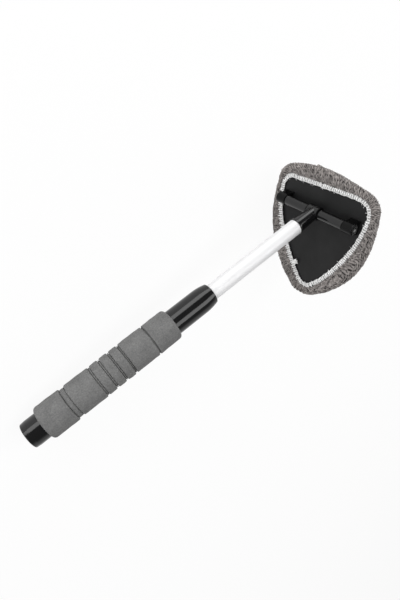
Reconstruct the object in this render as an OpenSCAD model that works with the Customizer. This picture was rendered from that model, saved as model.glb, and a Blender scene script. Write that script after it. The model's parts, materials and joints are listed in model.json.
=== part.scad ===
// Telescoping windscreen cleaning wand with a pivoting triangular cloth head.
// Each piece is drawn in the wand's own frame: the pole runs along X from the handle end at x = 0,
// the head turns about Y, and laid() sets the finished wand down on its grip and the side of its head.

/* [Handle] */
// Outer diameter of the handle tube under the foam
tube_d = 21.5; // [21:0.5:24]
// Wall thickness of the handle tube
tube_wall = 1.2; // [0.8:0.1:1.5]
// Wall of the end cap around the tube
cap_wall = 1.4; // [1.2:0.1:3]
// How much thinner the end cap is at its tip
cap_taper = 0.4; // [0.3:0.1:1.2]
// Length of the end cap's tapered tip
cap_lead = 4.5; // [3:0.5:8]
// Bare length of the end cap, from its tip to the foam
cap_l = 14.8; // [11:0.1:20]
// Thickness of the end cap's floor
cap_floor = 2.5; // [1.5:0.1:4]
// Rounding of the end cap's rim
cap_round = 0.9; // [0.5:0.1:2]
// Wall of the front collar around the tube
collar_wall = 1.4; // [1:0.05:3]
// Length of the front collar, from the foam to its nose
collar_l = 46.4; // [38:0.1:60]
// Length of the curved nose of the collar
nose_l = 14.5; // [8:0.1:18]
// Radius of the nose's curve, seen from the side
nose_curve = 55; // [45:1:90]
// Rounding of the nose's rim
nose_round = 0.9; // [0.4:0.1:1.2]
// Gap between the collar's nose and the pole
nose_gap = 0.5; // [0.3:0.05:0.8]
// Distance from the end of the handle tube to the nose
tube_stop = 15; // [10:0.5:18]
// Length of the guide bush inside the tube
bush_l = 18; // [12:0.5:25]
// Wall of the guide bush between the tube and the pole
bush_wall = 1.4; // [1:0.1:2]
// Thickness of the guide bush's flange
bush_flange = 2.5; // [1.5:0.1:4]

/* [Foam grip] */
// Wall of the foam over the tube, at its plain bands
foam_wall = 4.6; // [4:0.1:7]
// How much the first band stands above the others
swell = 0.3; // [0:0.05:1.5]
// Length of the first band, at the handle end
band_1 = 25; // [20:0.1:32]
// Width of the wide groove after the first band
wide_groove = 4.9; // [3.5:0.1:8]
// Length of the second band
band_2 = 24.2; // [18:0.2:34]
// Width of the grooves beside the narrow rings
groove_w = 1.9; // [1.4:0.1:3]
// Depth of the grooves
groove_depth = 1.2; // [1.1:0.1:2]
// Width of one narrow ring
ring_w = 8.1; // [6:0.1:11]
// Number of narrow rings
ring_n = 3; // [2:1:4]
// Length of the band after the narrow rings
band_3 = 24.8; // [18:0.1:32]
// Width of the slit before the last band
slit_w = 1.2; // [0.8:0.1:1.6]
// Length of the last band
band_4 = 24.6; // [18:0.1:32]
// Rounding of the bands at the grooves
band_round = 1; // [0.6:0.1:1.1]
// Rounding of the foam's two ends
foam_round = 3; // [1.5:0.1:3.8]

/* [Pole] */
// Wall thickness of the pole
pole_wall = 1; // [0.8:0.1:1.5]
// Length of the pole tube
pole_l = 195; // [185:1:200]
// Length of pole that shows between the collar and the yoke
pole_out = 113.3; // [110:0.1:122]

/* [Twist lock] */
// Length of the lock plug inside the pole
plug_l = 16; // [10:0.5:25]
// Thickness of the lock plug's two flanges
plug_flange = 2.5; // [1.5:0.1:4]
// Diameter of the eccentric post
post_d = 10; // [8:0.1:11]
// Offset of the eccentric post from the pole's axis
post_offset = 1; // [0.6:0.05:1.2]
// Length of the cam ring
cam_l = 11; // [8:0.5:14]
// Width of the slot that splits the cam ring
cam_slot = 2.4; // [1.5:0.1:4]
// Turn of the pole from locked to free, in degrees
unlock_turn = 90; // [60:5:90]

/* [Yoke and hinge] */
// Diameter of the yoke's shoulder at the end of the pole
shoulder_d = 17.8; // [17:0.1:19]
// Length of the shoulder
shoulder_l = 2.4; // [1.5:0.1:4]
// Diameter of the stem next to the shoulder
stem_d = 15.8; // [14:0.1:16]
// Diameter of the stem at the crossbar
stem_tip_d = 13.6; // [11:0.1:13.8]
// Distance from the end of the pole to the hinge axis
stem_l = 27.8; // [22:0.2:32]
// Length of the yoke's spigot inside the pole
spigot_l = 20; // [12:0.5:30]
// Diameter of the hub in the middle of the crossbar
hub_d = 14; // [13.8:0.1:14.6]
// Width of the hub along the hinge axis
hub_w = 13.8; // [13.6:0.1:18]
// Width of the neck between the hub and each arm
neck_w = 1; // [0.6:0.1:2]
// Diameter of that neck
neck_d = 8.8; // [7:0.1:9.4]
// Diameter of the crossbar's arms
arm_d = 10.5; // [10:0.1:11]
// Distance from the end of each arm out to the centre of the base corner beside it
arm_in = 4.6; // [3:0.2:8]
// Edge chamfer on the hub, the arms and the pin
chamfer = 0.6; // [0.3:0.05:0.8]
// Diameter of the hinge pin
pin_d = 4; // [3:0.1:5]
// How far the hinge pin stands out of the right lug
pin_proud = 0.4; // [0.2:0.1:1]
// Wall that closes the left lug over the pin's end
lug_end_wall = 2.5; // [1.5:0.1:4]
// Diameter of the lugs on the plate
lug_d = 11.9; // [11:0.1:12.4]
// Length of each lug
lug_l = 12; // [10:0.2:16]
// Rounding of the lugs' outer ends
lug_round = 1.4; // [0.6:0.1:2]
// Width of each lug's foot on the plate
foot_w = 15.4; // [13:0.5:20]
// Width of each lug's web under the drum
web_w = 10.4; // [8:0.2:10.8]
// Height of the hinge axis above the plate
pivot_h = 9.6; // [9:0.1:12]
// Roll of the wand as it lies, from the apex of the head pointing up (degrees)
lie_roll = 100; // [96:1:108]
// Turn of the head from square to the pole, as it lies (degrees)
head_tilt = -24; // [-40:0.5:-15]

/* [Plate and pad] */
// Half the distance between the two base corners of the cloth's hem line
base_half = 42; // [38:0.5:48]
// Distance from the hinge axis back to the base corners' centres
base_back = 12.5; // [9:0.5:15]
// Distance from the hinge axis out to the apex corner's centre
apex_out = 76.5; // [68:0.5:86]
// Radius of the base corners of the hem line
base_corner = 13; // [11:0.5:18]
// Radius of the apex corner of the hem line
apex_corner = 13; // [11:0.5:18]
// Radius of the two long, bowed sides of the hem line
side_bow = 168; // [120:1:300]
// Radius of the bowed base side of the hem line
base_bow = 730; // [300:10:900]
// How far the plate reaches past the hem line
plate_lap = 4.6; // [3.6:0.2:5.4]
// Thickness of the plate
plate_t = 3; // [2:0.1:5]
// Width of the lip round the plate's front
lip_w = 2; // [1.2:0.1:3]
// Height of that lip
lip_h = 2; // [1:0.1:4]
// Thickness of the sponge pad
pad_t = 3.2; // [3:0.2:6]

/* [Cloth bonnet] */
// Thickness of the cloth on the wiping side
cloth_t = 3.6; // [3:0.1:6]
// Thickness of the cloth outside the plate, at the corners
side_t = 6.2; // [5:0.1:9]
// Radius of the cloth's bowed right side, measured at the hem line
cloth_right_bow = 97.5; // [88:0.5:120]
// Radius of the cloth's bowed left side, on which the wand lies, measured at the hem line
cloth_left_bow = 106; // [98:1:130]
// Radius of the cloth's bowed base side, measured at the hem line
cloth_base_bow = 200; // [140:5:300]
// Distance of the cloth's widest line below the back of the plate
widest_drop = 0.2; // [0:0.1:2]
// Bevel round the floor of the cloth's cavity
cavity_bevel = 2; // [1:0.5:3]
// How far the wiping face lies inside the widest line
face_in = 11; // [8:0.5:12]
// Height of the cloth's roll over the back of the plate
roll_h = 3.4; // [2.8:0.1:6]
// How far the top of the roll lies inside the widest line
roll_in = 5; // [4:0.1:6]
// Depth to which the cloth is pressed flat where it lies
rest_flat = 0.8; // [0.5:0.1:1.5]
// Rise of the gathers in the roll
gather = 0.4; // [0:0.1:0.8]
// Width of the white hem
hem_w = 4.6; // [4:0.1:6]
// Thickness of the white hem
hem_t = 1.8; // [1.6:0.1:2.4]
// Width of the elastic cord in the hem
elastic_w = 1.6; // [1:0.1:1.8]
// Thickness of the elastic cord in the hem
elastic_t = 0.6; // [0.4:0.1:0.8]

/* [Fits] */
// Gap between pieces that are pressed or glued together
fit_gap = 0.05; // [0.02:0.01:0.1]
// Radial play of the pole in its bush
slide_gap = 0.1; // [0.05:0.01:0.15]
// Radial play of the yoke on the hinge pin
pin_gap = 0.08; // [0.04:0.01:0.1]
// Gap beside what turns or slides past another piece
side_gap = 0.4; // [0.3:0.05:0.6]
// Gap between the cloth and what it covers
cloth_gap = 0.4; // [0.3:0.05:0.6]

/* [Hidden] */
round_fn = 96;
arc_steps = 6;

// Places along the pole
grip_l = band_1 + wide_groove + band_2 + ring_n * ring_w + (ring_n + 1) * groove_w + band_3 + slit_w + band_4;
grip_end = cap_l + grip_l;
nose_x = grip_end + collar_l;
tube_end = nose_x - tube_stop;
pole_end = nose_x + pole_out;
pole_start = pole_end - pole_l;
pivot_x = pole_end + stem_l;
cam_room = cam_l + 2 * side_gap;
post_end = pole_start - plug_flange - cam_room;
plug_end = post_end - plug_flange;

// Radii that mating pieces share
tube_r = tube_d / 2;
tube_bore_r = tube_r - tube_wall;
cap_r = tube_r + cap_wall;
collar_r = tube_r + collar_wall;
foam_r = tube_r + foam_wall;
pole_r = tube_bore_r - fit_gap - bush_wall - slide_gap;
pole_bore_r = pole_r - pole_wall;
cam_r = tube_bore_r - side_gap;
pin_r = pin_d / 2;

// The pole's travel: out until the plug meets the bush, in until the plug nears the end cap's floor
stop_gap = 0.6;
floor_gap = 2;
slide_out = tube_end - bush_l - pole_start - stop_gap;
slide_in = min(plug_end - cap_floor - floor_gap, pole_out - floor_gap);

// Arms of the crossbar, and the lugs beside them
arm_end = base_half - arm_in;
lug_start = arm_end + side_gap;
lug_end = lug_start + lug_l;

// Heights in the head's own frame, whose z = 0 is the back of the plate
plate_front = -plate_t;
pad_front = plate_front - pad_t;
cavity_front = pad_front - cloth_gap;
cloth_front = cavity_front - cloth_t;

// A quarter round from an edge facing down the axis to an edge facing out, as [radius, place] pairs
function round_in(r, x, e) = [for (i = [0 : arc_steps]) let (a = 90 * i / arc_steps)
    [r - e + e * sin(a), x + e - e * cos(a)]];
function round_out(r, x, e) = [for (i = [0 : arc_steps]) let (a = 90 * i / arc_steps)
    [r - e + e * cos(a), x - e + e * sin(a)]];

// Midway between the least and the greatest of a list
function middle(v) = (max(v) + min(v)) / 2;

// A solid of revolution about X, or about Y, from [radius, place] pairs
module spin_x(profile) {
    rotate([0, 90, 0])
        rotate_extrude($fn = round_fn)
            polygon(profile);
}
module spin_y(profile) {
    rotate([-90, 0, 0])
        rotate_extrude($fn = round_fn)
            polygon(profile);
}

// The hem line: three corner arcs joined by three bowed sides, each arc as [centre, radius, from, to].
// In the head's frame x points to the apex and y runs along the hinge.
corners = [[[-base_back, -base_half], base_corner], [[-base_back, base_half], base_corner],
           [[apex_out, 0], apex_corner]];
hem_bows = [base_bow, side_bow, side_bow];
cloth_bows = [cloth_base_bow, cloth_right_bow, cloth_left_bow];
inside = [0, 0];
function next(i) = (i + 1) % 3;
// Centre of the long arc that touches two corner arcs from outside, on the far side of the middle
function bow_centre(i, bows) =
    let (a = corners[i], b = corners[next(i)], ra = bows[i] - a[1], rb = bows[i] - b[1],
         d = norm(b[0] - a[0]), ex = (b[0] - a[0]) / d, along = (ra * ra - rb * rb + d * d) / (2 * d),
         rise = sqrt(ra * ra - along * along), ey = [-ex.y, ex.x],
         side = (inside - a[0]) * ey > 0 ? 1 : -1)
    a[0] + along * ex + side * rise * ey;
function heading(from, to) = atan2(to.y - from.y, to.x - from.x);
function turn(a, b) = (b - a + 540) % 360 - 180;
bow_steps = 14;
corner_steps = 8;
function bow_points(i, o, bows) =
    let (c = bow_centre(i, bows), a = heading(c, corners[i][0]), b = heading(c, corners[next(i)][0]))
    [for (k = [0 : bow_steps - 1]) let (t = a + turn(a, b) * k / bow_steps)
        c + (bows[i] + o) * [cos(t), sin(t)]];
function corner_points(i, o, bows) =
    let (j = next(i), c = corners[j][0], a = heading(bow_centre(i, bows), c),
         b = heading(bow_centre(j, bows), c))
    [for (k = [0 : corner_steps - 1]) let (t = a + turn(a, b) * k / corner_steps)
        c + (corners[j][1] + o) * [cos(t), sin(t)]];
// The whole outline, moved outward by o, with the hem's bows or the cloth's
function outline(o, bows = hem_bows) =
    [for (i = [0 : 2]) each concat(bow_points(i, o, bows), corner_points(i, o, bows))];
stations = 3 * (bow_steps + corner_steps);

// A ring of points at outward offset o, drawn in to the middle by share s, at height z, with gathers g
function ring(o, s, z, g = 0, bows = hem_bows) = let (line = outline(o, bows))
    [for (i = [0 : stations - 1]) [s * line[i].x, s * line[i].y, z + (i % 2 == 0 ? g : -g)]];

// Surface between the rings of a section: round the section too when it is closed
function strip(rows, closed) = [for (r = [0 : rows - (closed ? 1 : 2)]) for (i = [0 : stations - 1])
    let (a = r * stations, b = ((r + 1) % rows) * stations, j = (i + 1) % stations)
    each [[a + i, b + i, b + j], [a + i, b + j, a + j]]];
module swept_band(section) {
    points = [for (p = section) each ring(p[0], 1, p[1])];
    polyhedron(points, strip(len(section), true));
}

// The cloth's section from the cavity's floor, round the mouth and over the side, to the wiping face
mouth = hem_w / 2 + cloth_gap / 2;
cavity = plate_lap + cloth_gap;
side_out = cavity + side_t;
face_share = 0.62;
crown = 0.6;
// Quarter rounds of the cloth's outside: a = 0 is the widest line, 90 the top of the roll or the wiping face
function roll_ring(a) =
    ring(side_out - roll_in * (1 - cos(a)), 1, -widest_drop + (roll_h + widest_drop) * sin(a),
         gather * sin(a), cloth_bows);
function side_ring(a) =
    ring(side_out - face_in * (1 - cos(a)), 1, -widest_drop + (cloth_front + widest_drop) * sin(a),
         0, cloth_bows);
cloth_rings = concat(
    [ring(0, face_share, cavity_front), ring(cavity - cavity_bevel, 1, cavity_front),
     ring(cavity, 1, cavity_front + cavity_bevel), ring(cavity, 1, -cloth_gap),
     ring(cavity - cloth_gap, 1, cloth_gap), ring(mouth, 1, cloth_gap), ring(mouth, 1, hem_t, gather / 2)],
    [for (a = [90 : -30 : 30]) roll_ring(a)],
    [for (a = [0 : 22.5 : 90]) side_ring(a)],
    [ring(0, face_share, cloth_front - crown, 0, cloth_bows)]);
cloth_points = [for (r = cloth_rings) each r];
rows = len(cloth_rings);

// The foam's outer profile: bands with rounded edges, and grooves between them
function band(x, l, r, e_in, e_out) = concat(round_in(r, x, e_in), round_out(r, x + l, e_out));
function groove(x, w) = [[foam_r - groove_depth, x], [foam_r - groove_depth, x + w]];
rings_x = cap_l + band_1 + wide_groove + band_2;
after_rings = rings_x + ring_n * (ring_w + groove_w) + groove_w;
slit_x = after_rings + band_3;
foam_profile = concat(
    band(cap_l, band_1, foam_r + swell, foam_round, band_round),
    groove(cap_l + band_1, wide_groove),
    band(cap_l + band_1 + wide_groove, band_2, foam_r, band_round, band_round),
    [for (i = [0 : ring_n - 1]) let (x = rings_x + i * (ring_w + groove_w))
        each concat(groove(x, groove_w), band(x + groove_w, ring_w, foam_r, band_round, band_round))],
    groove(after_rings - groove_w, groove_w),
    band(after_rings, band_3, foam_r, band_round, band_round),
    groove(slit_x, slit_w),
    band(slit_x + slit_w, band_4, foam_r, band_round, foam_round));

// How the wand lies: rolled onto the cloth's left side, then pitched until grip and cloth both touch
head_turn = head_tilt - 90;
function head_point(p) = let (h = p.z - pivot_h)
    [pivot_x + p.x * cos(head_turn) + h * sin(head_turn), p.y, -p.x * sin(head_turn) + h * cos(head_turn)];
function rolled(p) = [p.x, p.y * cos(lie_roll) - p.z * sin(lie_roll),
                      p.y * sin(lie_roll) + p.z * cos(lie_roll)];
side_points = [for (p = cloth_points) rolled(head_point(p))];
function head_low(pitch) = rest_flat + min([for (p = side_points) p.x * sin(pitch) + p.z * cos(pitch)]);
function grip_low(pitch) = min([for (p = foam_profile) p[1] * sin(pitch) - p[0] * cos(pitch)]);
function level(low, high, n) = let (mid = (low + high) / 2)
    n == 0 ? mid : head_low(mid) < grip_low(mid) ? level(mid, high, n - 1) : level(low, mid, n - 1);
steepest = 30;
halvings = 24;
lie_pitch = level(0, steepest, halvings);
function pitched(p) = [p.x * cos(lie_pitch) - p.z * sin(lie_pitch), p.y,
                       p.x * sin(lie_pitch) + p.z * cos(lie_pitch)];
laid_points = concat([for (p = side_points) pitched(p)], [pitched([0, 0, cap_r - cap_taper])]);
shift = [-middle([for (p = laid_points) p.x]), -middle([for (p = laid_points) p.y]), -grip_low(lie_pitch)];
function laid_point(p) = pitched(rolled(p)) + shift;
module laid() {
    translate(shift)
        rotate([0, -lie_pitch, 0])
            rotate([lie_roll, 0, 0])
                children();
}
module in_head() {
    translate([pivot_x, 0, 0])
        rotate([0, head_turn, 0])
            translate([0, 0, -pivot_h])
                children();
}

module handle_tube() {
    color("dimgray")
        laid()
            spin_x([[tube_bore_r, cap_floor], [tube_r, cap_floor],
                    [tube_r, tube_end], [tube_bore_r, tube_end]]);
}

module end_cap() {
    tip_r = cap_r - cap_taper;
    color("#161616")
        laid()
            spin_x(concat([[0, 0]], round_in(tip_r, 0, cap_round),
                [[cap_r, cap_lead], [cap_r, cap_l], [tube_r + fit_gap, cap_l], [tube_r + fit_gap, cap_floor],
                 [0, cap_floor]]));
}

module foam_grip() {
    bore = tube_r + fit_gap;
    color("#767676")
        laid()
            spin_x(concat([[bore, cap_l]], foam_profile, [[bore, grip_end]]));
}

// The collar slides over the tube, holds the bush's flange, and curves in to a nose round the pole
module front_collar() {
    curve_x = nose_x - nose_l;
    rim_x = nose_x - nose_round;
    function nose_r(x) = collar_r - nose_curve + sqrt(pow(nose_curve, 2) - pow(x - curve_x, 2));
    nose_steps = 10;
    bore = tube_r + fit_gap;
    mouth_r = pole_r + nose_gap;
    seat = tube_end + bush_flange;
    color("#161616")
        laid()
            spin_x(concat([[bore, grip_end], [collar_r, grip_end]],
                [for (i = [0 : nose_steps]) let (x = curve_x + (rim_x - curve_x) * i / nose_steps)
                    [nose_r(x), x]],
                round_out(nose_r(rim_x), nose_x, nose_round),
                [[mouth_r, nose_x], [mouth_r, seat], [bore, seat]]));
}

module guide_bush() {
    sleeve_r = tube_bore_r - fit_gap;
    bore = pole_r + slide_gap;
    color("white")
        laid()
            spin_x([[bore, tube_end - bush_l], [sleeve_r, tube_end - bush_l], [sleeve_r, tube_end],
                    [tube_r, tube_end], [tube_r, tube_end + bush_flange], [bore, tube_end + bush_flange]]);
}

// The split ring's bore lies midway between the post's places when locked and when free
module cam_ring() {
    shift_half = post_offset * sin(unlock_turn / 2);
    bore_offset = post_offset * cos(unlock_turn / 2);
    bore_r = post_d / 2 + shift_half + side_gap / 2;
    color("white")
        laid()
            translate([post_end + side_gap, 0, 0])
                rotate([unlock_turn / 2, 0, 0])
                    rotate([0, 90, 0])
                        difference() {
                            cylinder(r = cam_r, h = cam_l, $fn = round_fn);
                            translate([0, bore_offset, -cam_l])
                                cylinder(r = bore_r, h = 3 * cam_l, $fn = round_fn);
                            translate([-cam_slot / 2, -2 * cam_r, -cam_l])
                                cube([cam_slot, 2 * cam_r, 3 * cam_l]);
                        }
}

module pole_tube() {
    color("gainsboro")
        laid()
            spin_x([[pole_bore_r, pole_start], [pole_r, pole_start],
                    [pole_r, pole_end], [pole_bore_r, pole_end]]);
}

module lock_plug() {
    spigot_r = pole_bore_r - fit_gap;
    color("#2a2a2a")
        laid() {
            spin_x([[0, pole_start - plug_flange], [cam_r, pole_start - plug_flange], [cam_r, pole_start],
                    [spigot_r, pole_start], [spigot_r, pole_start + plug_l], [0, pole_start + plug_l]]);
            translate([plug_end, post_offset, 0])
                rotate([0, 90, 0])
                    cylinder(d = post_d, h = plug_flange + cam_room + plug_flange / 2, $fn = round_fn);
            spin_x([[0, plug_end], [cam_r, plug_end], [cam_r, post_end], [0, post_end]]);
        }
}

// Half of the crossbar's profile, from the middle out: hub, neck and arm with chamfered edges
function half_bar() = [
    [hub_d / 2, 0], [hub_d / 2, hub_w / 2 - chamfer], [hub_d / 2 - chamfer, hub_w / 2],
    [neck_d / 2, hub_w / 2], [neck_d / 2, hub_w / 2 + neck_w],
    [arm_d / 2 - chamfer, hub_w / 2 + neck_w], [arm_d / 2, hub_w / 2 + neck_w + chamfer],
    [arm_d / 2, arm_end - chamfer], [arm_d / 2 - chamfer, arm_end], [0, arm_end]];
function mirrored(half) = concat([for (i = [len(half) - 1 : -1 : 1]) [half[i][0], -half[i][1]]],
    [for (i = [1 : len(half) - 1]) half[i]]);

module yoke() {
    spigot_r = pole_bore_r - fit_gap;
    shoulder_round = 0.6;
    color("#161616")
        laid()
            difference() {
                union() {
                    spin_x(concat(
                        [[0, pole_end - spigot_l], [spigot_r, pole_end - spigot_l], [spigot_r, pole_end]],
                        round_in(shoulder_d / 2, pole_end, shoulder_round),
                        round_out(shoulder_d / 2, pole_end + shoulder_l, shoulder_round),
                        [[stem_d / 2, pole_end + shoulder_l], [stem_tip_d / 2, pivot_x], [0, pivot_x]]));
                    translate([pivot_x, 0, 0])
                        spin_y(mirrored(half_bar()));
                }
                translate([pivot_x, 0, 0])
                    rotate([-90, 0, 0])
                        cylinder(r = pin_r + pin_gap, h = 4 * arm_end, center = true, $fn = round_fn);
            }
}

// One lug along +y: a drum on a web that widens to a foot on the plate
module lug() {
    translate([0, 0, pivot_h])
        spin_y(concat([[0, lug_start], [lug_d / 2, lug_start]], round_out(lug_d / 2, lug_end, lug_round),
            [[0, lug_end]]));
    translate([0, lug_end - lug_round, 0])
        rotate([90, 0, 0])
            linear_extrude(height = lug_l - lug_round)
                polygon([[-foot_w / 2, -plate_t / 2], [foot_w / 2, -plate_t / 2], [web_w / 2, pivot_h],
                         [-web_w / 2, pivot_h]]);
}

module base_plate() {
    color("#222222")
        laid()
            in_head()
                difference() {
                    union() {
                        translate([0, 0, plate_front])
                            linear_extrude(height = plate_t)
                                polygon(outline(plate_lap));
                        translate([0, 0, plate_front - lip_h])
                            linear_extrude(height = lip_h + plate_t / 2)
                                difference() {
                                    polygon(outline(plate_lap));
                                    polygon(outline(plate_lap - lip_w));
                                }
                        lug();
                        mirror([0, 1, 0])
                            lug();
                    }
                    translate([0, lug_end_wall - lug_end, pivot_h])
                        rotate([-90, 0, 0])
                            cylinder(r = pin_r + fit_gap, h = 2 * lug_end, $fn = round_fn);
                }
}

module hinge_pin() {
    start = lug_end_wall - lug_end + fit_gap;
    end = lug_end + pin_proud;
    color("silver")
        laid()
            in_head()
                translate([0, 0, pivot_h])
                    spin_y([[0, start], [pin_r - chamfer, start], [pin_r, start + chamfer],
                            [pin_r, end - chamfer], [pin_r - chamfer, end], [0, end]]);
}

module sponge_pad() {
    color("khaki")
        laid()
            in_head()
                translate([0, 0, pad_front])
                    linear_extrude(height = pad_t)
                        polygon(outline(plate_lap - lip_w - cloth_gap));
}

// The microfibre cover: one thick cloth with a mouth on the back, a rolled edge and a flat wiping face,
// pressed flat where the wand lies on it
module bonnet() {
    floor_face = [for (i = [0 : stations - 1]) i];
    wiping_face = [for (i = [stations - 1 : -1 : 0]) (rows - 1) * stations + i];
    rest_points = [for (p = side_points) let (q = pitched(p) + shift) [q.x, q.y, max(q.z, 0)]];
    color("#7d7673")
        polyhedron(rest_points, concat([floor_face], strip(rows, false), [wiping_face]));
}

// The overlocked edge of the cloth: a channel that holds the elastic cord
module hem() {
    w = hem_w / 2;
    e = elastic_w / 2 + cloth_gap / 2;
    top = hem_t + cloth_gap;
    roof = 2 * cloth_gap + elastic_t;
    shoulder = hem_t / 3;
    color("whitesmoke")
        laid()
            in_head()
                swept_band([[-w, cloth_gap], [-w, top - shoulder], [-w / 2, top], [w / 2, top],
                            [w, top - shoulder], [w, cloth_gap], [e, cloth_gap], [e, roof], [-e, roof],
                            [-e, cloth_gap]]);
}

module elastic_cord() {
    e = elastic_w / 2;
    low = 1.5 * cloth_gap;
    color("white")
        laid()
            in_head()
                swept_band([[-e, low], [-e, low + elastic_t], [e, low + elastic_t], [e, low]]);
}

handle_tube();
end_cap();
foam_grip();
front_collar();
guide_bush();
cam_ring();
pole_tube();
lock_plug();
yoke();
base_plate();
hinge_pin();
sponge_pad();
bonnet();
hem();
elastic_cord();
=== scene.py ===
import json
import math

import bpy
import numpy as np
from mathutils import Matrix, Vector


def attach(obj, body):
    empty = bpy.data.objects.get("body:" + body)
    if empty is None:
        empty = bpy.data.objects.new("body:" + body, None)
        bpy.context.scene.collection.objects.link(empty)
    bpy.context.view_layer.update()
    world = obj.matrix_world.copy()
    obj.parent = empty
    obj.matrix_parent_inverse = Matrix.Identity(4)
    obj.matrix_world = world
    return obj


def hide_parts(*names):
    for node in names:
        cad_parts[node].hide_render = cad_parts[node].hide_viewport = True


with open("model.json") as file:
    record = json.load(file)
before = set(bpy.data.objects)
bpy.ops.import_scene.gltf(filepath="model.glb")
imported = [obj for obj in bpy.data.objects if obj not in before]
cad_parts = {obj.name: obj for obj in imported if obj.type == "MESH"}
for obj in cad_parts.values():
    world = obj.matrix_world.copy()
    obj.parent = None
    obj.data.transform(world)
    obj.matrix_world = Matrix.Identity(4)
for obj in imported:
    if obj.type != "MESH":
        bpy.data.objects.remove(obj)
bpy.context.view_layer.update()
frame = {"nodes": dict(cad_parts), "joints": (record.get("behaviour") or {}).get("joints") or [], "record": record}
nodes = frame["nodes"]
joints = {j["name"]: j for j in frame["joints"]}
mounts = {m["name"]: m for m in frame["record"]["mounts"]}
MM = 0.001
TURN = 2 * math.pi
QUARTER = math.pi / 2

# The wand's own axes: x along the pole, y along the hinge, from the handle's end
start = np.array(joints["pole_twist"]["pos_m"])
pivot = np.array(joints["head_pivot"]["pos_m"])
wand_x = np.array(joints["pole_twist"]["axis"])
hinge_y = np.array(joints["head_pivot"]["axis"])
wand_z = np.cross(wand_x, hinge_y)

# The head's own axes: x to the apex, y along the hinge, z out of the back of the plate
head_z = -np.array(mounts["wiping_face"]["axis"])
head_z /= np.linalg.norm(head_z)
head_x = np.cross(hinge_y, head_z)

# Sizes of the handle, in mm. SWELL is how much thicker the band at the end cap is.
TUBE_R = 10.8
FOAM_R = 15.35
CAP_L = 14.8
SWELL = 0.3
GROOVE_DEPTH = 1.2
BAND_ROUND = 1.0
FOAM_ROUND = 3.0
# Each band of the foam, the groove after it and the width of the crease at each edge of that groove
BANDS = ((25.0, 4.9, 0.25), (24.2, 1.9, 0.2), (8.1, 1.9, 0.25), (8.1, 1.9, 0.3), (8.1, 1.9, 0.4),
         (24.8, 1.2, 0.5), (24.6, 0.0, 0.0))

# Sizes of the head, in mm. Each corner has its centre and radius, each bow the radius of a side.
PIVOT_H = 9.6
CORNERS = (((-12.5, -42.0), 13.0), ((-12.5, 42.0), 13.0), ((76.5, 0.0), 13.0))
HEM_BOWS = (730.0, 168.0, 168.0)
CLOTH_BOWS = (200.0, 97.5, 106.0)
PLATE_FRONT = -3.0
PAD_FRONT = -6.2
PAD_EDGE = 2.2
CAVITY = 5.0
CAVITY_FRONT = -6.6
CAVITY_BEVEL = 2.0
CLOTH_GAP = 0.4
CLOTH_FRONT = -10.2
CROWN = 0.6
FACE_SHARE = 0.62
SIDE_OUT = 11.2
FACE_IN = 11.0
ROLL_IN = 5.0
ROLL_H = 3.4
WIDEST = -0.2
MOUTH = 2.5
HEM_T = 1.8
HEM_HALF = 2.3
ELASTIC_HALF = 0.75
ELASTIC_LOW = 0.62
ELASTIC_HIGH = 1.18


# Points and meshes
ASIDE = (0.31, 0.22, 0.93)  # a direction that no thread starts along


def wand_point(x, r, a):
    """Points at x mm along the pole, r mm from its axis and angle a round it, in metres."""
    x, r, a = np.broadcast_arrays(x, r, a)
    spoke = np.cos(a)[..., None] * hinge_y + np.sin(a)[..., None] * wand_z
    return start + MM * (x[..., None] * wand_x + r[..., None] * spoke)


def head_point(p):
    """Points of the head's own frame, in mm, as points of the row frame, in metres."""
    p = np.asarray(p, float)
    x, y, z = p[..., :1], p[..., 1:2], p[..., 2:] - PIVOT_H
    return pivot + MM * (x * head_x + y * hinge_y + z * head_z)


def add_mesh(name, points, faces, material, body):
    """A smooth mesh that rides on a body and takes a slot's finish."""
    mesh = bpy.data.meshes.new(name)
    mesh.from_pydata([tuple(p) for p in points], [], faces)
    mesh.polygons.foreach_set("use_smooth", [True] * len(mesh.polygons))
    mesh.materials.append(material)
    mesh.update()
    obj = bpy.data.objects.new(name, mesh)
    bpy.context.scene.collection.objects.link(obj)
    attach(obj, body)
    return obj


def grid_faces(rows, columns, closed_rows=False):
    """Quads between rows of points that each close round."""
    r = np.arange(rows if closed_rows else rows - 1)[:, None]
    i = np.arange(columns)[None, :]
    a, b, j = r * columns, ((r + 1) % rows) * columns, (i + 1) % columns
    return np.stack([a + i, b + i, b + j, a + j], -1).reshape(-1, 4)


def hoop_faces(stations, n):
    """Quads between sections of n points each, one at every station of a closed line."""
    faces = []
    for i in range(stations):
        a, b = i * n, (i + 1) % stations * n
        faces += [(a + k, a + (k + 1) % n, b + (k + 1) % n, b + k) for k in range(n)]
    return faces


def outward(points, faces):
    """The faces turned so that the closed mesh encloses a positive volume."""
    p = np.asarray(points)
    fans = np.array([(f[0], f[k], f[k + 1]) for f in faces for k in range(1, len(f) - 1)])
    a, b, c = p[fans[:, 0]], p[fans[:, 1]], p[fans[:, 2]]
    volume = float((a * np.cross(b, c)).sum())
    return [tuple(int(v) for v in (f if volume > 0 else f[::-1])) for f in faces]


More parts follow.
